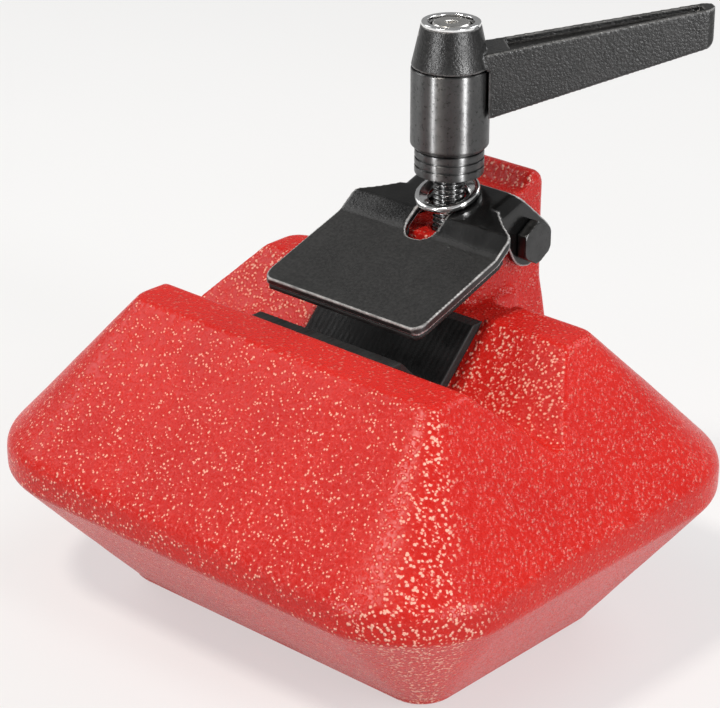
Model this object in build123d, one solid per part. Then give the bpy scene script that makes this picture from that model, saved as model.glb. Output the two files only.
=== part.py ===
from build123d import *
import math
import os

# A counterweight that clamps onto a stand or boom tube.
# Frame: +X along the tube groove, +Y to the hinge post at the back, +Z up.
# Origin: centre of the flat underside. All sizes in millimetres.

# weight casting
BASE_X, BASE_Y, BASE_R = 101.0, 66.0, 8.0
BAND_X, BAND_Y, BAND_R = 154.0, 130.0, 29.6
TOP_X, TOP_Y, TOP_R = 99.0, 60.0, 5.0
BAND_LOW, BAND_HIGH, CAST_TOP = 35.0, 42.3, 77.0
BAND_LOW_SOFT, BAND_HIGH_SOFT, TOP_SOFT, BASE_SOFT = 3.0, 5.0, 2.0, 2.0

# tube groove and its rubber pad
GROOVE_FLOOR = 59.0
GROOVE_VERTEX_R = 2.75
PAD_LOW_X, PAD_HIGH_X = -21.8, 24.6
PAD_THICK = 2.75
PAD_FLOOR_FLAT = 61.0
PAD_FRONT_TOP, PAD_BACK_TOP = 75.4, 76.4

# sunk seat behind the groove, and the post that carries the hinge
SEAT_HALF_X, SEAT_Z, SEAT_FRONT, SEAT_BACK = 24.0, 74.0, 12.0, 50.0
SHELF_HALF_X, SHELF_FRONT, SHELF_BACK = 14.0, 30.0, 44.0
BOSS_HALF_X, BOSS_FRONT, BOSS_TOP, BOSS_R = 12.0, 24.6, 90.4, 3.0
POST_HALF_X, POST_FRONT, POST_BACK, POST_TOP = 12.0, 40.0, 56.0, 102.6
STEP_Z, STEP_EASE, STEP_FRONT, STEP_BACK = 98.5, 4.2, 47.8, 51.0
POST_ROOT_HALF_X, POST_ROOT_BACK, POST_ROOT_Z = 14.0, 60.0, 46.0
POST_TOP_R, POST_SIDE_R = 4.0, 2.0

# clamp stud, M8
STUD_Y = 32.6
STUD_R, STUD_ROOT_R, STUD_PITCH = 4.0, 3.4, 1.25
STUD_BOTTOM, STUD_THREAD_LOW, STUD_TOP = 54.0, 90.6, 121.0
FIT = 0.02
RUN_FIT = 0.06
GAP = 0.3
ABOVE_ALL = 160.0

# hinge, M6
HINGE_Y, HINGE_Z = 44.5, 87.5
BOLT_R, BOLT_HEAD_FLATS, BOLT_HEAD_H, HEX_CHAMFER = 3.0, 10.0, 2.8, 0.5
HEX_CORNER_R = BOLT_HEAD_FLATS / math.sqrt(3)
NUT_H, NUT_INSERT_H, NUT_INSERT_R, NUT_COLLAR_R, BOLT_PROUD = 4.4, 1.6, 4.3, 4.7, 1.0
WASHER_R, WASHER_HOLE_R, WASHER_H = 6.0, 3.2, 1.6

# pressed jaw plate: top-surface points in the YZ plane, front to back
JAW_FRONT = (-8.2, 82.3)
JAW_BEND_1 = (20.3, 91.7)
JAW_BEND_2 = (26.0, 96.0)
JAW_BACK = (40.0, 100.63)
BACK_SLOPE = math.degrees(math.atan2(JAW_BACK[1] - JAW_BEND_2[1], JAW_BACK[0] - JAW_BEND_2[0]))
JAW_HALF_X, JAW_CORNER_R = 25.6, 3.5
JAW_STEEL, JAW_LINER = 2.2, 1.4
JAW_SHOULDER_Y, JAW_WAIST_Y, JAW_NECK_Y = 26.0, 29.2, 32.5
JAW_WAIST_HALF_X = 20.5
EAR_OUTER_X = 16.3
EAR_FRONT = (31.6, 96.4)
EAR_R, EAR_CURL_R = 6.9, 3.4
EAR_TAIL, EAR_TAIL_R = (49.8, 87.5), 3.4
SLOT_HALF_X, SLOT_FRONT, SLOT_BACK = 4.8, 18.9, 37.5
LINER_BACK_Y = 23.5
LINER_INSET = 0.4

# dished washer that lies on the jaw round the stud
DISH_R, DISH_RIM_R, DISH_HOLE_R = 8.3, 7.1, 5.1
DISH_H, DISH_FLOOR_H = 1.9, 0.7

# grooved collar, snap ring and lever hub
COLLAR_R, COLLAR_LOW, COLLAR_HIGH = 8.65, 104.8, 111.1
COLLAR_GROOVES = (107.1, 109.15)
COLLAR_GROOVE_W, COLLAR_GROOVE_D, COLLAR_CHAMFER = 0.35, 0.45, 0.4
COLLAR_POCKET_R, COLLAR_POCKET_Z = 7.4, 106.3
NECK_R, NECK_GROOVE_R, NECK_LOW = 6.0, 5.6, 105.2
RING_LOW, RING_HIGH, RING_R, RING_GAP = 105.4, 106.0, 7.1, 2.4
HUB_R, HUB_LOW, HUB_HIGH = 9.75, 111.4, 131.9
HUB_CHAMFER = 1.1
HUB_BORE_TOP = 123.5
SPIGOT_R, SPIGOT_TOP = 6.8, 133.3

# handle head, screw, washer and spring
HEAD_BASE_R, HEAD_TOP_R, HEAD_LOW, HEAD_HIGH = 9.75, 7.4, 132.2, 142.6
SPIGOT_POCKET_TOP, LEDGE_TOP = 133.6, 135.0
SPRING_WELL_R = 5.3
RIM_OUT_R, RIM_IN_R, RIM_TOP = 7.3, 5.7, 143.4
SCREW_R, SCREW_BOTTOM, SCREW_CHAMFER = 2.5, 125.2, 0.5
SCREW_HEAD_R, SCREW_HEAD_LOW, SCREW_HEAD_TOP = 4.7, 141.1, 143.2
SCREW_SOCKET_FLATS, SCREW_SOCKET_DEPTH = 3.0, 1.3
SEAT_WASHER_R, SEAT_WASHER_LOW, SEAT_WASHER_TOP = 5.1, 140.3, 140.8
SPRING_COIL_R, SPRING_WIRE_R, SPRING_TURNS = 4.2, 0.25, 2.5

# handle arm, drawn along +X and then turned about the stud
ARM_TURN = 50.0
ARM_TIP = 65.0
ARM_ROOT_LOW, ARM_ROOT_HIGH = 117.5, 135.0
ARM_TIP_LOW, ARM_TIP_HIGH = 135.1, 144.8
ARM_ROOT_W, ARM_TIP_W = 12.8, 6.3
ARM_NOSE_R, ARM_TIP_R = 3.0, 2.75
ARM_CLEAR_R = 10.1
CHANNEL_START, CHANNEL_END, CHANNEL_WALL, CHANNEL_DEPTH = 14.0, 62.0, 1.4, 1.6


def slab(low_x, high_x, low_y, high_y, low_z, high_z):
    """A box given by its limits."""
    size = (high_x - low_x, high_y - low_y, high_z - low_z)
    centre = ((low_x + high_x) / 2, (low_y + high_y) / 2, (low_z + high_z) / 2)
    return Pos(*centre) * Box(*size)


def rod(radius, low_z, high_z, y=0.0):
    """A vertical cylinder between two heights."""
    middle = (low_z + high_z) / 2
    return Pos(0, y, middle) * Cylinder(radius, high_z - low_z)


def cross_rod(radius, low_x, high_x):
    """A cylinder along X on the hinge line."""
    middle = (low_x + high_x) / 2
    return Pos(middle, HINGE_Y, HINGE_Z) * Rot(0, 90, 0) * Cylinder(radius, high_x - low_x)


def along_x(points, half_x):
    """A closed YZ outline pushed out to both sides of the centre plane."""
    face = Plane.YZ * make_face(Polyline(*points, close=True))
    return extrude(face, half_x, both=True)


def section(size_x, size_y, radius, z):
    """A rounded rectangle at one height of the casting."""
    return Pos(0, 0, z) * RectangleRounded(size_x, size_y, radius)


def edges_at(part, z):
    """The edges that lie at one height."""
    return part.edges().filter_by_position(Axis.Z, z - 0.01, z + 0.01)


def weight_block():
    """The two tapered halves and the band between them, with softened edges."""
    band = section(BAND_X, BAND_Y, BAND_R, BAND_LOW)
    lower = loft([section(BASE_X, BASE_Y, BASE_R, 0), band], ruled=True)
    middle = extrude(band, BAND_HIGH - BAND_LOW)
    upper_low = section(BAND_X, BAND_Y, BAND_R, BAND_HIGH)
    upper = loft([upper_low, section(TOP_X, TOP_Y, TOP_R, CAST_TOP)], ruled=True)
    block = lower + middle + upper
    block = fillet(edges_at(block, BAND_HIGH), BAND_HIGH_SOFT)
    block = fillet(edges_at(block, BAND_LOW), BAND_LOW_SOFT)
    block = fillet(edges_at(block, CAST_TOP), TOP_SOFT)
    return fillet(edges_at(block, 0), BASE_SOFT)


def groove_cutter():
    """The V-shaped tube groove, square-sided at 45 degrees, with a rounded bottom."""
    rise = 30.0
    points = [(-rise, GROOVE_FLOOR + rise), (0, GROOVE_FLOOR), (rise, GROOVE_FLOOR + rise)]
    cutter = along_x(points, BAND_X)
    bottom = cutter.edges().filter_by(Axis.X).sort_by(Axis.Z)[0]
    return fillet(bottom, GROOVE_VERTEX_R)


POST_STEP = [
    (POST_FRONT - 1, STEP_Z - STEP_EASE - 1),
    (POST_FRONT + STEP_EASE, STEP_Z),
    (STEP_FRONT, STEP_Z),
    (STEP_BACK, POST_TOP),
    (STEP_BACK, POST_TOP + 1),
    (POST_FRONT - 1, POST_TOP + 1),
]


def hinge_post():
    """The upright that carries the hinge, its root and shelf, and the boss round the stud."""
    upright = slab(-POST_HALF_X, POST_HALF_X, POST_FRONT, POST_BACK, SEAT_Z, POST_TOP)
    top_edges = upright.edges().filter_by(Axis.X).group_by(Axis.Z)[-1]
    upright = fillet(top_edges, POST_TOP_R)
    corners = upright.edges().filter_by(Axis.Z)
    upright = fillet(corners, POST_SIDE_R)
    upright -= along_x(POST_STEP, POST_HALF_X + 1)
    root_mid_y = (POST_FRONT + POST_ROOT_BACK) / 2
    root_low = Pos(0, root_mid_y, POST_ROOT_Z) * RectangleRounded(
        2 * POST_ROOT_HALF_X, POST_ROOT_BACK - POST_FRONT, POST_SIDE_R)
    mid_y = (POST_FRONT + POST_BACK) / 2
    root_high = Pos(0, mid_y, SEAT_Z) * RectangleRounded(
        2 * POST_HALF_X, POST_BACK - POST_FRONT, POST_SIDE_R)
    root = loft([root_low, root_high], ruled=True)
    shelf = slab(-SHELF_HALF_X, SHELF_HALF_X, SHELF_FRONT, SHELF_BACK, POST_ROOT_Z, SEAT_Z)
    boss = slab(-BOSS_HALF_X, BOSS_HALF_X, BOSS_FRONT, POST_FRONT + 1, SEAT_Z - 1, BOSS_TOP)
    boss = fillet(boss.edges().filter_by(Axis.Z).group_by(Axis.Y)[0], BOSS_R)
    return upright + root + shelf + boss


def weight_casting():
    """The cast iron weight with groove, seat, post and the holes for stud and hinge."""
    block = weight_block() - groove_cutter()
    block -= slab(-SEAT_HALF_X, SEAT_HALF_X, SEAT_FRONT, SEAT_BACK, SEAT_Z, CAST_TOP + 5)
    block += hinge_post()
    block -= rod(STUD_R, STUD_BOTTOM, BOSS_TOP + 1, STUD_Y)
    return block - cross_rod(BOLT_R + FIT, -POST_HALF_X - 1, POST_HALF_X + 1)


def groove_pad():
    """The V-shaped rubber pad glued into the middle of the groove."""
    front = PAD_FRONT_TOP - GROOVE_FLOOR
    back = PAD_BACK_TOP - GROOVE_FLOOR
    flat = PAD_FLOOR_FLAT - GROOVE_FLOOR
    across = PAD_THICK * math.sqrt(2)
    inner_floor = GROOVE_FLOOR + across
    points = [
        (-front, PAD_FRONT_TOP),
        (-flat, PAD_FLOOR_FLAT),
        (flat, PAD_FLOOR_FLAT),
        (back, PAD_BACK_TOP),
        (back - across, PAD_BACK_TOP),
        (0, inner_floor),
        (across - front, PAD_FRONT_TOP),
    ]
    outline = Plane.YZ * make_face(Polyline(*points, close=True))
    pad = Pos(PAD_LOW_X, 0, 0) * extrude(outline, PAD_HIGH_X - PAD_LOW_X)
    long_edges = pad.edges().filter_by(Axis.X)
    valley = long_edges.filter_by_position(Axis.Z, inner_floor - 0.01, inner_floor + 0.01)
    return fillet(valley, PAD_THICK)


def clamp_stud():
    """The M8 stud, plain where it sits in the casting, ringed where it carries thread."""
    outline = [(0, STUD_BOTTOM), (STUD_R - FIT, STUD_BOTTOM), (STUD_R - FIT, STUD_THREAD_LOW)]
    turns = int((STUD_TOP - 1 - STUD_THREAD_LOW) / STUD_PITCH)
    for turn in range(turns):
        low = STUD_THREAD_LOW + turn * STUD_PITCH
        outline.append((STUD_ROOT_R, low + 0.5 * STUD_PITCH))
        outline.append((STUD_R, low + 0.94 * STUD_PITCH))
        outline.append((STUD_R, low + 1.06 * STUD_PITCH))
    outline.append((STUD_ROOT_R, STUD_TOP))
    outline.append((0, STUD_TOP))
    face = make_face(Plane.XZ * Polyline(*outline, close=True))
    return Pos(0, STUD_Y, 0) * revolve(face, Axis.Z)


def hexagon_block(flats, low_x, high_x):
    """A hexagon along X on the hinge line, corners up and down."""
    face = Plane.YZ * (Pos(HINGE_Y, HINGE_Z) * RegularPolygon(flats / 2, 6, major_radius=False, rotation=30))
    return Pos(low_x, 0, 0) * extrude(face, high_x - low_x)


def hinge_bolt():
    """The M6 hinge bolt, its hexagon head on the +X side."""
    seat = EAR_OUTER_X + GAP
    head = hexagon_block(BOLT_HEAD_FLATS, seat, seat + BOLT_HEAD_H)
    crown = cross_rod(HEX_CORNER_R, seat - 1, seat + BOLT_HEAD_H)
    crown = chamfer(crown.edges().sort_by(Axis.X)[-1], HEX_CHAMFER)
    end = seat + NUT_H + NUT_INSERT_H + BOLT_PROUD
    return (head & crown) + cross_rod(BOLT_R, -end, seat)


def hinge_nut():
    """The nut on the -X side, with a round collar that holds the locking ring."""
    seat = -EAR_OUTER_X - GAP
    nut = hexagon_block(BOLT_HEAD_FLATS, seat - NUT_H, seat)
    collar = cross_rod(NUT_COLLAR_R, seat - NUT_H - NUT_INSERT_H, seat - NUT_H)
    pocket = cross_rod(NUT_INSERT_R, seat - NUT_H - NUT_INSERT_H - 1, seat - NUT_H)
    return nut + (collar - pocket) - cross_rod(BOLT_R + FIT, -BAND_X, 0)


def nut_insert():
    """The nylon ring that locks the nut."""
    seat = -EAR_OUTER_X - GAP - NUT_H
    ring = cross_rod(NUT_INSERT_R - FIT, seat - NUT_INSERT_H + 0.2, seat)
    return ring - cross_rod(BOLT_R + FIT, -BAND_X, 0)


def hinge_washers():
    """The two washers between post and ears."""
    washer = cross_rod(WASHER_R, POST_HALF_X, POST_HALF_X + WASHER_H)
    washer -= cross_rod(WASHER_HOLE_R, POST_HALF_X - 1, POST_HALF_X + WASHER_H + 1)
    return Compound(children=[washer, mirror(washer, about=Plane.YZ)])


def offset_point(point, before, after, depth):
    """A corner of the jaw's top line moved down by a sheet thickness."""
    first = math.atan2(point[1] - before[1], point[0] - before[0])
    second = math.atan2(after[1] - point[1], after[0] - point[0])
    middle = (first + second) / 2
    reach = depth / math.cos((second - first) / 2)
    return (point[0] + reach * math.sin(middle), point[1] - reach * math.cos(middle))


def jaw_line(depth):
    """The jaw's side line, front to back, at a depth below its top surface."""
    start = (2 * JAW_FRONT[0] - JAW_BEND_1[0], 2 * JAW_FRONT[1] - JAW_BEND_1[1])
    finish = (2 * JAW_BACK[0] - JAW_BEND_2[0], 2 * JAW_BACK[1] - JAW_BEND_2[1])
    return [
        offset_point(JAW_FRONT, start, JAW_BEND_1, depth),
        offset_point(JAW_BEND_1, JAW_FRONT, JAW_BEND_2, depth),
        offset_point(JAW_BEND_2, JAW_BEND_1, JAW_BACK, depth),
        offset_point(JAW_BACK, JAW_BEND_2, finish, depth),
    ]


def jaw_sheet(top_depth, bottom_depth, half_x):
    """A sheet that follows the jaw's side line between two depths."""
    return along_x(jaw_line(top_depth) + jaw_line(bottom_depth)[::-1], half_x)


def jaw_outline(half_x, front_y, inset):
    """The jaw seen from above, as a tall block to trim a sheet with."""
    points = [
        (half_x, front_y),
        (half_x, JAW_SHOULDER_Y),
        (JAW_WAIST_HALF_X - inset, JAW_WAIST_Y),
        (EAR_OUTER_X - inset, JAW_NECK_Y),
        (EAR_OUTER_X - inset, JAW_BACK[0] + 5),
    ]
    points += [(-x, y) for x, y in points[::-1]]
    block = extrude(make_face(Polyline(*points, close=True)), ABOVE_ALL)
    uprights = block.edges().filter_by(Axis.Z).group_by(Axis.Y)
    block = fillet(uprights[0], JAW_CORNER_R)
    shoulder = block.edges().filter_by(Axis.Z).filter_by_position(
        Axis.Y, JAW_SHOULDER_Y - 0.1, JAW_SHOULDER_Y + 0.1)
    return fillet(shoulder, JAW_CORNER_R / 2)


def slot_block():
    """The long slot that lets the stud swing through the jaw."""
    length = SLOT_BACK - SLOT_FRONT
    face = Pos(0, (SLOT_FRONT + SLOT_BACK) / 2) * SlotOverall(length, 2 * SLOT_HALF_X, rotation=90)
    return extrude(face, ABOVE_ALL)


def ear():
    """The +X ear: round the hinge bolt, longer at the back, and tangent up to the sheet."""
    ring = Pos(HINGE_Y, HINGE_Z) * Circle(EAR_R)
    tail = Pos(*EAR_TAIL) * Circle(EAR_TAIL_R)
    cap = Polyline(EAR_FRONT, JAW_BACK, jaw_line(JAW_STEEL)[-1], close=True)
    outline = make_hull(ring.edges() + tail.edges() + cap.edges())
    return Pos(EAR_OUTER_X - JAW_STEEL, 0, 0) * extrude(Plane.YZ * outline, JAW_STEEL)


def curl_cutter():
    """What the bend between the raised back and the +X ear rounds off."""
    square = Pos(-EAR_CURL_R / 2, -EAR_CURL_R / 2) * Rectangle(EAR_CURL_R, EAR_CURL_R)
    corner = square - Pos(-EAR_CURL_R, -EAR_CURL_R) * Circle(EAR_CURL_R)
    to_front = Vector(0, -1, 0).rotate(Axis.X, BACK_SLOPE)
    start = Vector(EAR_OUTER_X, *JAW_BACK) - to_front * EAR_CURL_R
    run = Plane(origin=start, x_dir=(1, 0, 0), z_dir=to_front)
    return extrude(run * corner, EAR_CURL_R + JAW_BACK[0] - JAW_NECK_Y)


def jaw_plate():
    """The pressed steel jaw: front pad, raised back and two curled hinge ears."""
    sheet = jaw_sheet(0, JAW_STEEL, JAW_HALF_X) & jaw_outline(JAW_HALF_X, JAW_FRONT[0], 0)
    side = ear() - curl_cutter()
    sheet -= curl_cutter()
    sheet -= mirror(curl_cutter(), about=Plane.YZ)
    plate = sheet + side + mirror(side, about=Plane.YZ)
    plate -= slot_block()
    return plate - cross_rod(BOLT_R + RUN_FIT, -BAND_X, BAND_X)


def jaw_liner():
    """The rubber sheet under the jaw's front pad."""
    half_x = JAW_HALF_X - LINER_INSET
    sheet = jaw_sheet(JAW_STEEL, JAW_STEEL + JAW_LINER, half_x)
    sheet &= jaw_outline(half_x, JAW_FRONT[0] + LINER_INSET, LINER_INSET)
    sheet &= slab(-half_x, half_x, -BAND_Y, LINER_BACK_Y, 0, ABOVE_ALL)
    return sheet - slot_block()


def dished_washer():
    """The bright dished washer, lying on the raised back of the jaw."""
    outline = [
        (DISH_HOLE_R, 0),
        (DISH_R - 0.5, 0),
        (DISH_R, 0.5),
        (DISH_R, DISH_H - 0.4),
        (DISH_R - 0.4, DISH_H),
        (DISH_RIM_R, DISH_H),
        (DISH_HOLE_R, DISH_FLOOR_H),
    ]
    washer = revolve(make_face(Plane.XZ * Polyline(*outline, close=True)), Axis.Z)
    rise = (STUD_Y - JAW_BEND_2[0]) * math.tan(math.radians(BACK_SLOPE))
    seat_z = JAW_BEND_2[1] + rise
    return Pos(0, STUD_Y, seat_z) * Rot(BACK_SLOPE, 0, 0) * Pos(0, 0, GAP) * washer


def thrust_collar():
    """The grooved collar under the lever, free to stand still while the lever turns."""
    ring = rod(COLLAR_R, COLLAR_LOW, COLLAR_HIGH)
    ring = chamfer(edges_at(ring, COLLAR_LOW), COLLAR_CHAMFER)
    for height in COLLAR_GROOVES:
        low = height - COLLAR_GROOVE_W / 2
        high = height + COLLAR_GROOVE_W / 2
        ring -= rod(COLLAR_R + 1, low, high) - rod(COLLAR_R - COLLAR_GROOVE_D, low, high)
    ring -= rod(NECK_R + RUN_FIT, COLLAR_LOW - 1, COLLAR_HIGH + 1)
    ring -= rod(COLLAR_POCKET_R, COLLAR_LOW - 1, COLLAR_POCKET_Z)
    return Pos(0, STUD_Y, 0) * ring


def collar_ring():
    """The open snap ring that keeps the collar on the hub's neck."""
    ring = rod(RING_R, RING_LOW, RING_HIGH) - rod(NECK_GROOVE_R, RING_LOW - 1, RING_HIGH + 1)
    ring -= slab(0, RING_R + 1, -RING_GAP / 2, RING_GAP / 2, RING_LOW - 1, RING_HIGH + 1)
    return Pos(0, STUD_Y, 0) * ring


def lever_hub():
    """The steel hub: threaded sleeve, neck for the collar and spigot for the handle."""
    sleeve = rod(HUB_R, HUB_LOW, HUB_HIGH)
    sleeve = chamfer(edges_at(sleeve, HUB_LOW), HUB_CHAMFER)
    hub = sleeve + rod(NECK_R, NECK_LOW, HUB_LOW) + rod(SPIGOT_R, HUB_HIGH, SPIGOT_TOP)
    hub -= rod(NECK_R + 1, RING_LOW, RING_HIGH) - rod(NECK_GROOVE_R, RING_LOW, RING_HIGH)
    hub -= rod(STUD_R + RUN_FIT, NECK_LOW - 1, HUB_BORE_TOP)
    hub -= rod(SCREW_R + FIT, SCREW_BOTTOM - 0.5, SPIGOT_TOP + 1)
    return Pos(0, STUD_Y, 0) * hub


def lever_screw():
    """The screw that holds the handle down through its spring."""
    head = rod(SCREW_HEAD_R, SCREW_HEAD_LOW, SCREW_HEAD_TOP)
    head = chamfer(edges_at(head, SCREW_HEAD_TOP), SCREW_CHAMFER)
    socket = Pos(0, 0, SCREW_HEAD_TOP - SCREW_SOCKET_DEPTH) * extrude(
        RegularPolygon(SCREW_SOCKET_FLATS / 2, 6, major_radius=False), SCREW_SOCKET_DEPTH + 1)
    return Pos(0, STUD_Y, 0) * (head - socket + rod(SCREW_R, SCREW_BOTTOM, SCREW_HEAD_LOW))


def lever_washer():
    """The thin washer between screw head and spring."""
    washer = rod(SEAT_WASHER_R, SEAT_WASHER_LOW, SEAT_WASHER_TOP)
    washer -= rod(SCREW_R + RUN_FIT, SEAT_WASHER_LOW - 1, SEAT_WASHER_TOP + 1)
    return Pos(0, STUD_Y, 0) * washer


def lever_spring():
    """The small spring that presses the handle down onto the hub."""
    height = SEAT_WASHER_LOW - LEDGE_TOP - 2 * SPRING_WIRE_R - 0.02
    path = Helix(height / SPRING_TURNS, height, SPRING_COIL_R)
    start = Plane(path @ 0, z_dir=path % 0)
    coil = sweep(start * Circle(SPRING_WIRE_R), path=path)
    return Pos(0, STUD_Y, LEDGE_TOP + SPRING_WIRE_R + 0.01) * coil


def arm_blank():
    """The tapered arm: side shape and plan shape crossed, then rounded."""
    side_points = [
        (0, ARM_ROOT_LOW),
        (ARM_TIP, ARM_TIP_LOW),
        (ARM_TIP, ARM_TIP_HIGH),
        (0, ARM_ROOT_HIGH),
    ]
    side_face = Plane.XZ * make_face(Polyline(*side_points, close=True))
    side = extrude(side_face, ARM_ROOT_W, both=True)
    low_tip = side.edges().filter_by(Axis.Y).sort_by(lambda edge: edge.center().X - edge.center().Z)[-1]
    side = fillet(low_tip, ARM_NOSE_R)
    plan_points = [
        (0, -ARM_ROOT_W / 2),
        (ARM_TIP, -ARM_TIP_W / 2),
        (ARM_TIP, ARM_TIP_W / 2),
        (0, ARM_ROOT_W / 2),
    ]
    plan = extrude(make_face(Polyline(*plan_points, close=True)), ABOVE_ALL)
    tip_edges = plan.edges().filter_by(Axis.Z).group_by(Axis.X)[-1]
    plan = fillet(tip_edges, ARM_TIP_R)
    return side & plan


def arm_channel():
    """The shallow channel sunk into the top of the arm."""
    slope = math.atan2(ARM_TIP_HIGH - ARM_ROOT_HIGH, ARM_TIP)
    floor_start = ARM_ROOT_HIGH + CHANNEL_START * math.tan(slope) - CHANNEL_DEPTH
    floor_end = ARM_ROOT_HIGH + CHANNEL_END * math.tan(slope) - CHANNEL_DEPTH
    narrowing = (ARM_ROOT_W - ARM_TIP_W) / 2 / ARM_TIP
    start_half = ARM_ROOT_W / 2 - narrowing * CHANNEL_START - CHANNEL_WALL
    end_half = ARM_ROOT_W / 2 - narrowing * CHANNEL_END - CHANNEL_WALL
    plan_points = [
        (CHANNEL_START, -start_half),
        (CHANNEL_END, -end_half),
        (CHANNEL_END, end_half),
        (CHANNEL_START, start_half),
    ]
    plan = extrude(make_face(Polyline(*plan_points, close=True)), ABOVE_ALL)
    side_points = [
        (CHANNEL_START, floor_start),
        (CHANNEL_END, floor_end),
        (CHANNEL_END, ABOVE_ALL),
        (CHANNEL_START, ABOVE_ALL),
    ]
    side_face = Plane.XZ * make_face(Polyline(*side_points, close=True))
    return plan & extrude(side_face, ARM_ROOT_W, both=True)


def lever_handle():
    """The moulded handle: round head over the hub and one tapered arm."""
    head_points = [(0, HEAD_LOW), (HEAD_BASE_R, HEAD_LOW), (HEAD_TOP_R, HEAD_HIGH), (0, HEAD_HIGH)]
    head = revolve(make_face(Plane.XZ * Polyline(*head_points, close=True)), Axis.Z)
    arm = arm_blank() - rod(ARM_CLEAR_R, 0, HEAD_LOW)
    handle = head + arm - arm_channel()
    handle -= rod(SPIGOT_R + RUN_FIT, HEAD_LOW - 1, SPIGOT_POCKET_TOP)
    handle -= rod(SCREW_R + RUN_FIT, HEAD_LOW - 1, LEDGE_TOP + 1)
    handle -= rod(SPRING_WELL_R, LEDGE_TOP, ABOVE_ALL)
    return Pos(0, STUD_Y, 0) * Rot(0, 0, ARM_TURN) * handle


def handle_rim():
    """The bright ring let into the top of the handle."""
    ring = rod(RIM_OUT_R, HEAD_HIGH, RIM_TOP) - rod(RIM_IN_R, HEAD_HIGH - 1, RIM_TOP + 1)
    ring = chamfer(edges_at(ring, RIM_TOP).sort_by(SortBy.RADIUS)[-1], 0.3)
    return Pos(0, STUD_Y, 0) * ring


def save():
    """Write every node as its own STEP file."""
    nodes = {
        "weight_casting": weight_casting(),
        "groove_pad": groove_pad(),
        "clamp_stud": clamp_stud(),
        "hinge_bolt": hinge_bolt(),
        "hinge_nut": hinge_nut(),
        "nut_insert": nut_insert(),
        "hinge_washers": hinge_washers(),
        "jaw_plate": jaw_plate(),
        "jaw_liner": jaw_liner(),
        "dished_washer": dished_washer(),
        "thrust_collar": thrust_collar(),
        "collar_ring": collar_ring(),
        "lever_hub": lever_hub(),
        "lever_screw": lever_screw(),
        "lever_washer": lever_washer(),
        "lever_spring": lever_spring(),
        "lever_handle": lever_handle(),
        "handle_rim": handle_rim(),
    }
    for name, shape in nodes.items():
        export_step(shape, f"parts/{name}.step")
        print(name, round(shape.volume, 1), len(shape.solids()), shape.is_valid)


os.makedirs("parts", exist_ok=True)
save()
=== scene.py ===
import math

import bmesh
import bpy
import numpy as np
from mathutils import Matrix, Vector, noise

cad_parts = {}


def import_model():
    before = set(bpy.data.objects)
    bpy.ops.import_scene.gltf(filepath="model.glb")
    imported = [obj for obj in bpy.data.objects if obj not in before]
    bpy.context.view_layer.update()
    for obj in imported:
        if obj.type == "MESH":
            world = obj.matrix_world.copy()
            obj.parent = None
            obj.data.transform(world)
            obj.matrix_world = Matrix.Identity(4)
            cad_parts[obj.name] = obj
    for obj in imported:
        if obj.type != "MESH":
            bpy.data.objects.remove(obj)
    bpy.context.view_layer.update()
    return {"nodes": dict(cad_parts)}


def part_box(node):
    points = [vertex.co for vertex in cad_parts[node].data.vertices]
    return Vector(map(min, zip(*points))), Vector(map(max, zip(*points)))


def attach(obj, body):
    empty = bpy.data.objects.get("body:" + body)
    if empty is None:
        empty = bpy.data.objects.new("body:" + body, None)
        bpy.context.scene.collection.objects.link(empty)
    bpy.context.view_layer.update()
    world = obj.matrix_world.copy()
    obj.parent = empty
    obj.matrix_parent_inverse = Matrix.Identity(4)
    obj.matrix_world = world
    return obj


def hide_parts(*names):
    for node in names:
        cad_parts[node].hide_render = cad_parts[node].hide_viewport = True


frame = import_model()
nodes = frame["nodes"]

MM = 0.001


# ---------------------------------------------------------------- places
def middle(node):
    low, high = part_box(node)
    return (Vector(low) + Vector(high)) / 2


stud_x = middle("clamp_stud").x
stud_y = middle("clamp_stud").y


# ---------------------------------------------------------------- materials
def new_material(name):
    mat = bpy.data.materials.new(name)
    mat.use_nodes = True
    tree = mat.node_tree
    shader = tree.nodes["Principled BSDF"]
    coords = tree.nodes.new("ShaderNodeTexCoord")
    return mat, tree, shader, coords.outputs["Object"]


def scaled(tree, vector, scale):
    node = tree.nodes.new("ShaderNodeMapping")
    node.inputs["Scale"].default_value = scale
    tree.links.new(vector, node.inputs["Vector"])
    return node.outputs["Vector"]


def noise_tex(tree, vector, scale, detail, rough):
    node = tree.nodes.new("ShaderNodeTexNoise")
    node.inputs["Scale"].default_value = scale
    node.inputs["Detail"].default_value = detail
    node.inputs["Roughness"].default_value = rough
    tree.links.new(vector, node.inputs["Vector"])
    return node.outputs["Fac"]


def cells(tree, vector, scale):
    node = tree.nodes.new("ShaderNodeTexVoronoi")
    node.feature = "F1"
    node.inputs["Scale"].default_value = scale
    tree.links.new(vector, node.inputs["Vector"])
    return node.outputs["Distance"]


def ramp(tree, fac, stops):
    node = tree.nodes.new("ShaderNodeValToRGB")
    band = node.color_ramp
    while len(band.elements) < len(stops):
        band.elements.new(0.5)
    for element, (at, colour) in zip(band.elements, stops):
        element.position = at
        element.color = (*colour, 1)
    tree.links.new(fac, node.inputs["Fac"])
    return node.outputs["Color"]


def grey(value):
    return (value, value, value)


def remap(tree, fac, low, high, out_low, out_high):
    node = tree.nodes.new("ShaderNodeMapRange")
    node.inputs["From Min"].default_value = low
    node.inputs["From Max"].default_value = high
    node.inputs["To Min"].default_value = out_low
    node.inputs["To Max"].default_value = out_high
    tree.links.new(fac, node.inputs["Value"])
    return node.outputs["Result"]


def mix_colour(tree, fac, first, second):
    node = tree.nodes.new("ShaderNodeMix")
    node.data_type = "RGBA"
    tree.links.new(fac, node.inputs["Factor"])
    for value, socket in ((first, node.inputs[6]), (second, node.inputs[7])):
        if isinstance(value, tuple):
            socket.default_value = (*value, 1)
        else:
            tree.links.new(value, socket)
    return node.outputs[2]


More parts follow.
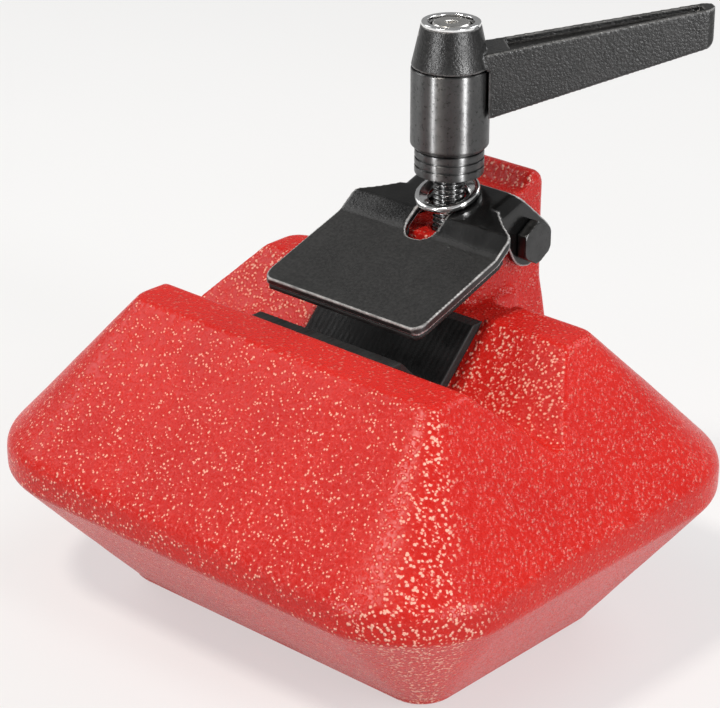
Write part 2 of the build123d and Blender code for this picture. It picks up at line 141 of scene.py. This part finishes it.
def maths(tree, kind, first, second):
    node = tree.nodes.new("ShaderNodeMath")
    node.operation = kind
    for value, socket in ((first, node.inputs[0]), (second, node.inputs[1])):
        if isinstance(value, float):
            socket.default_value = value
        else:
            tree.links.new(value, socket)
    return node.outputs[0]


def bump(tree, height, distance, strength=1.0, below=None):
    node = tree.nodes.new("ShaderNodeBump")
    node.inputs["Distance"].default_value = distance
    node.inputs["Strength"].default_value = strength
    tree.links.new(height, node.inputs["Height"])
    if below is not None:
        tree.links.new(below, node.inputs["Normal"])
    return node.outputs["Normal"]


def convex_edge_mask(tree, low, high):
    """High on convex edges, from the mesh's own curvature; it places edge wear and painted highlights."""
    geometry = tree.nodes.new("ShaderNodeNewGeometry")
    return remap(tree, geometry.outputs["Pointiness"], low, high, 0.0, 1.0)


def axis_value(tree, vector, axis):
    node = tree.nodes.new("ShaderNodeSeparateXYZ")
    tree.links.new(vector, node.inputs[0])
    return node.outputs[axis]


def painted_highlight_zones(tree, at):
    """Painted highlights: how many grain tips are painted pale on most faces, more on faces turned towards
    -Y, and where they crowd: two corners and the groove's far wall.
    """
    coords = tree.nodes.new("ShaderNodeTexCoord")
    across = axis_value(tree, coords.outputs["Normal"], 0)
    back = axis_value(tree, coords.outputs["Normal"], 1)
    # Painted highlight: faces turned towards -Y get more pale grain tips.
    glint_share = remap(tree, back, -0.15, -0.6, 0.25, 0.9)
    # Painted highlight: pale grain tips crowd on two diagonal corners.
    corner = remap(tree, maths(tree, "MULTIPLY", across, back), -0.18, -0.23, 0.0, 1.0)
    behind = remap(tree, axis_value(tree, at, 1), 0.0, 8 * MM, 0.0, 1.0)
    # Painted highlight: more pale grain tips on the groove's far wall.
    wall_glints = maths(tree, "MULTIPLY", behind, remap(tree, back, -0.3, -0.6, 0.0, 0.8))
    return glint_share, maths(tree, "MAXIMUM", corner, wall_glints)


def red_paint():
    """Thick glossy red paint with small raised grains about a millimetre apart; the tips of some grains are
    painted pale as highlights, and the hollows between grains get painted shade.
    """
    mat, tree, shader, at = new_material("red_paint_with_painted_glints")
    blotch = noise_tex(tree, at, 45, 3, 0.55)
    dome = remap(tree, cells(tree, at, 1050), 0.0, 0.62, 1.0, 0.0)
    patch = remap(tree, noise_tex(tree, at, 700, 2, 0.5), 0.40, 0.56, 0.1, 1.0)
    dome = maths(tree, "MULTIPLY", dome, patch)
    base = ramp(tree, blotch, [(0.3, (0.56, 0.014, 0.009)), (0.7, (0.64, 0.020, 0.012))])
    glint_share, crowded_glints = painted_highlight_zones(tree, at)
    # Painted highlight: grain tips are painted pale, sparsely on most faces and crowded in the zones.
    tip_glint = maths(tree, "MULTIPLY", remap(tree, dome, 0.42, 0.58, 0.0, 1.0), glint_share)
    broad_tip_glint = maths(tree, "MULTIPLY", remap(tree, dome, 0.20, 0.44, 0.0, 0.9), crowded_glints)
    colour = mix_colour(tree, maths(tree, "MAXIMUM", tip_glint, broad_tip_glint), base, (0.98, 0.50, 0.38))
    # Painted shade: darker red in the hollows between the grains.
    low = remap(tree, dome, 0.10, 0.0, 0.0, 0.25)
    colour = mix_colour(tree, low, colour, (0.36, 0.004, 0.006))
    tree.links.new(colour, shader.inputs["Base Color"])
    pits = noise_tex(tree, at, 1800, 2, 0.55)
    height = maths(tree, "ADD", dome, maths(tree, "MULTIPLY", pits, 0.12))
    normal = bump(tree, noise_tex(tree, at, 110, 3, 0.5), 0.5 * MM, 0.15)
    normal = bump(tree, height, 0.36 * MM, 1.0, normal)
    tree.links.new(normal, shader.inputs["Normal"])
    tree.links.new(remap(tree, pits, 0.3, 0.7, 0.24, 0.34), shader.inputs["Roughness"])
    shader.inputs["Specular IOR Level"].default_value = 0.22
    return mat


def black_rubber(name):
    mat, tree, shader, at = new_material(name)
    dust = noise_tex(tree, at, 240, 4, 0.6)
    tree.links.new(ramp(tree, dust, [(0.35, grey(0.006)), (0.75, grey(0.018))]), shader.inputs["Base Color"])
    tree.links.new(remap(tree, dust, 0.3, 0.7, 0.5, 0.72), shader.inputs["Roughness"])
    grain = noise_tex(tree, at, 2600, 2, 0.5)
    tree.links.new(bump(tree, grain, 0.00012, 0.6), shader.inputs["Normal"])
    shader.inputs["Specular IOR Level"].default_value = 0.3
    return mat


def worn_and_lit_edges(tree, at, base, low, high, amount, tone):
    """Paint turned pale grey along the convex edges, in patches: partly rubbed wear, partly a painted
    highlight.
    """
    patchy = remap(tree, noise_tex(tree, at, 260, 3, 0.7), 0.3, 0.62, 0.35, 1.0)
    # Edge wear and painted highlight: pale grey on convex edges, in patches.
    worn_and_lit = maths(tree, "MULTIPLY", convex_edge_mask(tree, low, high), patchy)
    worn_and_lit = maths(tree, "MULTIPLY", worn_and_lit, amount)
    return mix_colour(tree, worn_and_lit, base, grey(tone))


def jaw_paint():
    """Satin black front pad, glossier raised back, edges painted pale as wear and painted highlight."""
    mat, tree, shader, at = new_material("jaw_satin_black")
    smudge = noise_tex(tree, at, 130, 4, 0.6)
    grit = noise_tex(tree, at, 1300, 2, 0.6)
    front = ramp(tree, grit, [(0.35, grey(0.010)), (0.68, grey(0.024))])
    back = ramp(tree, smudge, [(0.3, grey(0.003)), (0.7, grey(0.007))])
    behind = remap(tree, axis_value(tree, at, 1), 19.5 * MM, 22.5 * MM, 0.0, 1.0)
    base = mix_colour(tree, behind, front, back)
    # Painted highlight and wear: pale grey along the jaw's convex edges.
    base = worn_and_lit_edges(tree, at, base, 0.516, 0.55, 0.85, 0.8)
    tree.links.new(base, shader.inputs["Base Color"])
    satin = remap(tree, smudge, 0.3, 0.7, 0.38, 0.5)
    glossy = remap(tree, smudge, 0.3, 0.7, 0.14, 0.24)
    swap = tree.nodes.new("ShaderNodeMix")
    tree.links.new(behind, swap.inputs["Factor"])
    tree.links.new(satin, swap.inputs["A"])
    tree.links.new(glossy, swap.inputs["B"])
    tree.links.new(swap.outputs["Result"], shader.inputs["Roughness"])
    tree.links.new(bump(tree, grit, 0.00005, 0.7), shader.inputs["Normal"])
    shader.inputs["Specular IOR Level"].default_value = 0.4
    return mat


def handle_paint():
    """Fine-textured black; its edges are painted paler, partly wear and partly a painted sheen."""
    mat, tree, shader, at = new_material("handle_textured_black")
    smudge = noise_tex(tree, at, 150, 4, 0.6)
    grit = noise_tex(tree, at, 1500, 2, 0.6)
    base = ramp(tree, grit, [(0.38, grey(0.004)), (0.7, grey(0.018))])
    # Painted sheen and wear: paler grey along the handle's convex edges.
    base = worn_and_lit_edges(tree, at, base, 0.52, 0.58, 0.7, 0.5)
    tree.links.new(base, shader.inputs["Base Color"])
    tree.links.new(remap(tree, smudge, 0.3, 0.7, 0.3, 0.44), shader.inputs["Roughness"])
    tree.links.new(bump(tree, grit, 0.00018, 0.75), shader.inputs["Normal"])
    shader.inputs["Specular IOR Level"].default_value = 0.4
    return mat


def metal(name, colour, rough, scratches=0.3, dark=(0.1, 0.1, 0.1), turned=0.0, streak=(1500, 300, 300)):
    """Steel with smears, fine marks and, on turned pieces, stretched highlights."""
    mat, tree, shader, at = new_material(name)
    shader.inputs["Metallic"].default_value = 1.0
    smear = noise_tex(tree, at, 300, 4, 0.65)
    streaks = noise_tex(tree, scaled(tree, at, streak), 1.0, 2, 0.5)
    tint = tuple(c * 0.75 for c in colour)
    base = ramp(tree, smear, [(0.3, tint), (0.7, colour)])
    spots = noise_tex(tree, at, 950, 3, 0.75)
    base = mix_colour(tree, remap(tree, spots, 0.56, 0.70, 0.0, scratches), base, dark)
    tree.links.new(base, shader.inputs["Base Color"])
    both = maths(tree, "ADD", maths(tree, "MULTIPLY", smear, 0.5), maths(tree, "MULTIPLY", streaks, 0.5))
    tree.links.new(remap(tree, both, 0.3, 0.7, rough * 0.75, rough * 1.3), shader.inputs["Roughness"])
    tree.links.new(bump(tree, streaks, 0.00002, 0.5), shader.inputs["Normal"])
    if turned:
        tangent = tree.nodes.new("ShaderNodeTangent")
        tangent.direction_type = "RADIAL"
        tangent.axis = "Z"
        tree.links.new(tangent.outputs["Tangent"], shader.inputs["Tangent"])
        shader.inputs["Anisotropic"].default_value = turned
        shader.inputs["Anisotropic Rotation"].default_value = 0.25
    return mat


def nylon():
    mat, tree, shader, at = new_material("nylon")
    cloud = noise_tex(tree, at, 400, 3, 0.5)
    base = ramp(tree, cloud, [(0.3, (0.62, 0.61, 0.57)), (0.7, (0.8, 0.79, 0.75))])
    tree.links.new(base, shader.inputs["Base Color"])
    tree.links.new(remap(tree, cloud, 0.3, 0.7, 0.35, 0.5), shader.inputs["Roughness"])
    tree.links.new(bump(tree, cloud, 0.00005, 0.5), shader.inputs["Normal"])
    return mat


mats = {
    "red": red_paint(),
    "pad": black_rubber("pad_rubber"),
    "liner": black_rubber("liner_rubber"),
    "jaw": jaw_paint(),
    "handle": handle_paint(),
    "hub": metal(
        "polished_dark_steel", grey(0.13), 0.38, 0.75, grey(0.008), turned=0.95, streak=(600, 600, 5000)),
    "stud": metal("dark_thread_steel", grey(0.16), 0.26, 0.4, grey(0.02)),
    "zinc": metal("zinc_plate", (0.60, 0.59, 0.57), 0.28, 0.35, grey(0.06)),
    "bright": metal("bright_nickel", grey(0.92), 0.13, 0.12),
    "oxide": metal("black_oxide", grey(0.075), 0.38, 0.4, grey(0.015)),
    "spring": metal("spring_wire", grey(0.45), 0.28),
    "nylon": nylon(),
}


def paint(obj, key):
    obj.data.materials.clear()
    obj.data.materials.append(mats[key])


# ---------------------------------------------------------------- mesh helpers
def link(mesh, name):
    obj = bpy.data.objects.new(name, mesh)
    bpy.context.scene.collection.objects.link(obj)
    return obj


def smooth_shade(mesh):
    mesh.polygons.foreach_set("use_smooth", [True] * len(mesh.polygons))


def baked(obj):
    """The object with its modifiers applied, as a new mesh."""
    graph = bpy.context.evaluated_depsgraph_get()
    mesh = bpy.data.meshes.new_from_object(obj.evaluated_get(graph))
    old = obj.data
    obj.modifiers.clear()
    obj.data = mesh
    if old.users == 0:
        bpy.data.meshes.remove(old)
    return obj


def softened(node, name, voxel, rounds):
    """A copy of a CAD node, remeshed and relaxed so that its edges are round."""
    mesh = nodes[node].data.copy()
    bm = bmesh.new()
    bm.from_mesh(mesh)
    bmesh.ops.remove_doubles(bm, verts=bm.verts, dist=0.001 * MM)
    bm.to_mesh(mesh)
    bm.free()
    obj = link(mesh, name)
    remesh = obj.modifiers.new("remesh", "REMESH")
    remesh.mode = "VOXEL"
    remesh.voxel_size = voxel
    remesh.use_smooth_shade = True
    relax = obj.modifiers.new("relax", "SMOOTH")
    relax.factor = 0.5
    relax.iterations = rounds
    return baked(obj)


def replace(obj, node, body, material):
    paint(obj, material)
    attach(obj, body)
    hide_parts(node)


# ---------------------------------------------------------------- casting
def moved(mesh, shift):
    """Push every point along its normal by shift(points) metres."""
    count = len(mesh.vertices)
    points = np.empty(count * 3)
    normals = np.empty(count * 3)
    mesh.vertices.foreach_get("co", points)
    mesh.vertices.foreach_get("normal", normals)
    points = points.reshape(-1, 3)
    normals = normals.reshape(-1, 3)
    points = points + normals * shift(points)[:, None]
    mesh.vertices.foreach_set("co", points.ravel())
    mesh.update()


BROAD_WAVE, FINE_WAVE, WAVE_SINK = 0.14, 0.06, 0.12
FLAT_FOOT = 1.5 * MM


def cast_waves(points):
    """Shallow unevenness of a sand-cast, thickly painted surface, mostly inwards; the foot stays flat."""
    broad = np.array([noise.noise(Vector(p) * 45.0) for p in points])
    fine = np.array([noise.noise(Vector(p) * 170.0) for p in points])
    depth = (broad * BROAD_WAVE + fine * FINE_WAVE - WAVE_SINK) * MM
    return np.where(points[:, 2] > FLAT_FOOT, depth, 0.0)


def casting():
    obj = softened("weight_casting", "casting", 0.75 * MM, 5)
    moved(obj.data, cast_waves)
    smooth_shade(obj.data)
    replace(obj, "weight_casting", "base", "red")


RIB_PITCH, RIB_DEPTH = 1.6 * MM, 0.07 * MM


def pad_ribs(points):
    """Fine ribs moulded across the pad, sunk below its flat surface."""
    wave = np.cos(points[:, 0] * 2 * math.pi / RIB_PITCH)
    return (np.clip(wave, -0.5, 0.5) - 0.5) * RIB_DEPTH


def groove_pad():
    obj = softened("groove_pad", "groove_pad_ribbed", 0.4 * MM, 2)
    moved(obj.data, pad_ribs)
    replace(obj, "groove_pad", "base", "pad")


# ---------------------------------------------------------------- turned and threaded pieces
def eased(outline, steps=4):
    """An outline of (radius, height, corner) points with its corners rounded."""
    out = []
    count = len(outline)
    for index, (r, z, corner) in enumerate(outline):
        here = Vector((r, z))
        before = Vector(outline[index - 1][:2]) - here
        after = Vector(outline[(index + 1) % count][:2]) - here
        if corner <= 0:
            out.append(tuple(here))
            continue
        start = here + before.normalized() * corner
        finish = here + after.normalized() * corner
        for step in range(steps + 1):
            t = step / steps
            out.append(tuple(start * (1 - t) ** 2 + here * 2 * t * (1 - t) + finish * t * t))
    return out


LATHE_STEPS = 96


def lathe(name, outline, at, turn=None):
    """A closed ring turned from an outline in millimetres, set on a vertical axis."""
    points = eased(outline)
    place = Matrix.Translation(Vector(at)) @ (turn or Matrix.Identity(4))
    bm = bmesh.new()
    rings = []
    for step in range(LATHE_STEPS):
        angle = 2 * math.pi * step / LATHE_STEPS
        spots = [Vector((r * math.cos(angle), r * math.sin(angle), z)) * MM for r, z in points]
        rings.append([bm.verts.new(place @ spot) for spot in spots])
    for step in range(LATHE_STEPS):
        here, there = rings[step], rings[(step + 1) % LATHE_STEPS]
        for index in range(len(points)):
            after = (index + 1) % len(points)
            bm.faces.new((here[index], there[index], there[after], here[after]))
    bmesh.ops.recalc_face_normals(bm, faces=bm.faces)
    mesh = bpy.data.meshes.new(name)
    bm.to_mesh(mesh)
    bm.free()
    smooth_shade(mesh)
    mesh.set_sharp_from_angle(angle=math.radians(35))
    return link(mesh, name)


def sizes(node):
    """Lowest height, highest height and half width of a turned node, in millimetres."""
    low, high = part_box(node)
    return low[2] / MM, high[2] / MM, (high[0] - low[0]) / 2 / MM


ROOT_R, THREAD_PITCH, THREAD_START = 3.4, 1.25, 90.6
THREAD_RUN_IN, THREAD_FADE, STUD_LEAD_IN = 0.6, 0.9, 0.8


def stud():
    """The M8 stud with a real helical thread and a lead-in at its top."""
    low, high, crest = sizes("clamp_stud")
    around, per_turn = 64, 10
    step = THREAD_PITCH / per_turn
    heights = [low, THREAD_START - THREAD_RUN_IN]
    while heights[-1] + step < high:
        heights.append(heights[-1] + step)
    heights.append(high)
    bm = bmesh.new()
    rings = []
    for z in heights:
        ring = []
        for index in range(around):
            share = index / around
            phase = ((z - THREAD_START) / THREAD_PITCH - share) % 1.0
            ridge = min(1.0, max(0.0, 1.18 - abs(phase - 0.5) * 2.6))
            depth = (crest - ROOT_R) * (1 - ridge)
            fade = min(1.0, max(0.0, (z - THREAD_START + THREAD_RUN_IN) / THREAD_FADE))
            radius = crest - depth * fade
            radius = min(radius, crest - max(0.0, z - (high - STUD_LEAD_IN)) * 0.8)
            angle = 2 * math.pi * share
            ring.append(bm.verts.new(Vector((stud_x, stud_y, z * MM)) + Vector(
                (radius * math.cos(angle), radius * math.sin(angle), 0)) * MM))
        rings.append(ring)
    for below, above in zip(rings, rings[1:]):
        for index in range(around):
            after = (index + 1) % around
            bm.faces.new((below[index], below[after], above[after], above[index]))
    bm.faces.new(rings[0][::-1])
    bm.faces.new(rings[-1])
    mesh = bpy.data.meshes.new("threaded_stud")
    bm.to_mesh(mesh)
    bm.free()
    smooth_shade(mesh)
    mesh.set_sharp_from_angle(angle=math.radians(50))
    replace(link(mesh, "threaded_stud"), "clamp_stud", "base", "stud")


def on_stud(name, outline):
    return lathe(name, outline, (stud_x, stud_y, 0))


def hub():
    low, high, radius = sizes("lever_hub")
    sleeve_low, sleeve_top = low + 6.2, high - 1.4
    outline = [
        (4.06, low, 0.2), (5.6, low, 0.2), (5.6, low + 0.8, 0),
        (6.0, low + 0.8, 0.1), (6.0, sleeve_low, 0.1),
        (radius - 1.1, sleeve_low, 0.25), (radius, sleeve_low + 1.1, 0.3), (radius, sleeve_top, 0.35),
        (6.8, sleeve_top, 0.2), (6.8, high, 0.2),
        (2.52, high, 0.2), (2.52, high - 8.6, 0), (4.06, high - 9.8, 0),
    ]
    replace(on_stud("hub_sleeve", outline), "lever_hub", "hub", "hub")


COLLAR_GROOVES = (2.3, 4.35)
GROOVE_W, GROOVE_D = 0.5, 0.45


def collar():
    low, high, radius = sizes("thrust_collar")
    outline = [(6.06, low + 1.5, 0), (7.4, low + 1.5, 0), (7.4, low, 0.1), (radius, low, 0.45)]
    for height in COLLAR_GROOVES:
        below = low + height - GROOVE_W / 2
        above = low + height + GROOVE_W / 2
        outline += [
            (radius, below, 0.12), (radius - GROOVE_D, below, 0.1),
            (radius - GROOVE_D, above, 0.1), (radius, above, 0.12)]
    outline += [(radius, high, 0.35), (6.06, high, 0.2)]
    replace(on_stud("grooved_collar", outline), "thrust_collar", "collar", "hub")


def rim():
    low, high, radius = sizes("handle_rim")
    outline = [(5.7, low, 0.05), (radius, low, 0.05), (radius, high, 0.3), (5.7, high, 0.25)]
    replace(on_stud("top_rim", outline), "handle_rim", "handle", "bright")


DISH_THICK = 1.9


def dish():
    """The bright dished washer, tilted with the raised back of the jaw."""
    low, high = (Vector(c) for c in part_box("dished_washer"))
    across = (high.y - low.y) / (high.x - low.x)
    radius = (high.x - low.x) / 2 / MM
    thick = DISH_THICK
    tilt = math.asin(min(1.0, ((high.z - low.z) / MM - thick * across) / (2 * radius)))
    centre = (low + high) / 2
    turn = Matrix.Rotation(tilt, 4, "X") @ Matrix.Translation((0, 0, -thick / 2 * MM))
    outline = [
        (5.1, 0, 0.12), (radius - 0.45, 0, 0.2), (radius, 0.5, 0.25), (radius, thick - 0.35, 0.3),
        (radius - 0.45, thick, 0.35), (radius - 1.3, thick, 0.25), (5.1, 0.7, 0.15)]
    obj = lathe("dished_ring", outline, tuple(centre), turn)
    replace(obj, "dished_washer", "stud_washer", "bright")


def fine_copy(node, name, body, material, voxel, rounds):
    replace(softened(node, name, voxel * MM, rounds), node, body, material)


casting()
groove_pad()
stud()
hub()
collar()
rim()
dish()
fine_copy("jaw_plate", "jaw", "jaw", "jaw", 0.36, 4)
fine_copy("jaw_liner", "liner", "jaw", "liner", 0.35, 2)
fine_copy("lever_handle", "handle", "handle", "handle", 0.36, 3)
fine_copy("hinge_bolt", "bolt", "base", "oxide", 0.2, 3)
fine_copy("hinge_nut", "nut", "base", "oxide", 0.2, 3)
fine_copy("lever_screw", "top_screw", "hub", "zinc", 0.14, 3)

for node, key in (
    ("nut_insert", "nylon"), ("hinge_washers", "zinc"), ("collar_ring", "spring"),
    ("lever_washer", "spring"), ("lever_spring", "spring"),
):
    paint(nodes[node], key)


# ---------------------------------------------------------------- stage, light, camera
def stage_material():
    mat, tree, shader, at = new_material("pale_floor")
    cloud = noise_tex(tree, at, 3, 3, 0.5)
    tree.links.new(ramp(tree, cloud, [(0.3, grey(0.30)), (0.7, grey(0.32))]), shader.inputs["Base Color"])
    shader.inputs["Roughness"].default_value = 0.95
    shader.inputs["Specular IOR Level"].default_value = 0.1
    shader.inputs["Emission Color"].default_value = (1, 1, 1, 1)
    shader.inputs["Emission Strength"].default_value = 0.55
    return mat


FLOOR_HALF, FLOOR_Z = 6.0, -0.2 * MM


def floor():
    mesh = bpy.data.meshes.new("floor")
    signs = ((-1, -1), (1, -1), (1, 1), (-1, 1))
    corners = [(x * FLOOR_HALF, y * FLOOR_HALF, FLOOR_Z) for x, y in signs]
    mesh.from_pydata(corners, [], [(0, 1, 2, 3)])
    obj = link(mesh, "floor")
    obj.data.materials.append(stage_material())


def area(name, spot, aim, size, power, colour=(1, 1, 1), gloss_only=False):
    """A rectangular soft light; gloss_only ones show in reflections and light nothing."""
    lamp = bpy.data.lights.new(name, "AREA")
    lamp.shape = "RECTANGLE"
    lamp.size, lamp.size_y = size
    lamp.energy = power
    lamp.color = colour
    obj = bpy.data.objects.new(name, lamp)
    obj.location = spot
    obj.rotation_euler = (Vector(aim) - Vector(spot)).to_track_quat("-Z", "Y").to_euler()
    obj.visible_camera = False
    obj.visible_diffuse = not gloss_only
    bpy.context.scene.collection.objects.link(obj)


def world():
    scene_world = bpy.data.worlds.new("studio")
    bpy.context.scene.world = scene_world
    scene_world.use_nodes = True
    back = scene_world.node_tree.nodes["Background"]
    back.inputs["Color"].default_value = (1, 1, 1, 1)
    back.inputs["Strength"].default_value = 0.30


CAMERA_SPOT = (0.3928, -0.4302, 0.3260)
CAMERA_AZIMUTH, CAMERA_ELEVATION, CAMERA_LENS = 42.4, 24.04, 130.38


def camera():
    """The photograph's viewpoint: it looks back along the azimuth and down by the elevation."""
    azimuth, elevation = math.radians(CAMERA_AZIMUTH), math.radians(CAMERA_ELEVATION)
    data = bpy.data.cameras.new("camera")
    data.sensor_width = 36.0
    data.lens = CAMERA_LENS
    data.clip_start = 0.01
    obj = bpy.data.objects.new("camera", data)
    obj.location = CAMERA_SPOT
    level = math.cos(elevation)
    ahead = Vector((-math.sin(azimuth) * level, math.cos(azimuth) * level, -math.sin(elevation)))
    obj.rotation_euler = ahead.to_track_quat("-Z", "Y").to_euler()
    bpy.context.scene.collection.objects.link(obj)
    bpy.context.scene.camera = obj


floor()
world()
area("key", (-0.10, -0.62, 1.18), (0, 0, 0.05), (0.20, 0.20), 10, (1.0, 0.94, 0.86))
area("left", (-0.95, -0.25, 0.75), (0, 0, 0.05), (0.5, 0.5), 4)
area("back", (0.25, 0.75, 0.75), (0, 0, 0.05), (0.5, 0.4), 4)
area("side", (0.95, -0.10, 0.42), (0, 0, 0.06), (0.16, 0.6), 4.5)
area("left_strip", (-0.16, -1.05, 0.30), (0, 0.03, 0.11), (0.07, 0.6), 10, gloss_only=True)
area("right_strip", (1.05, -0.08, 0.30), (0, 0.03, 0.11), (0.07, 0.6), 10, gloss_only=True)
camera()
bpy.context.scene.view_settings.view_transform = "Standard"
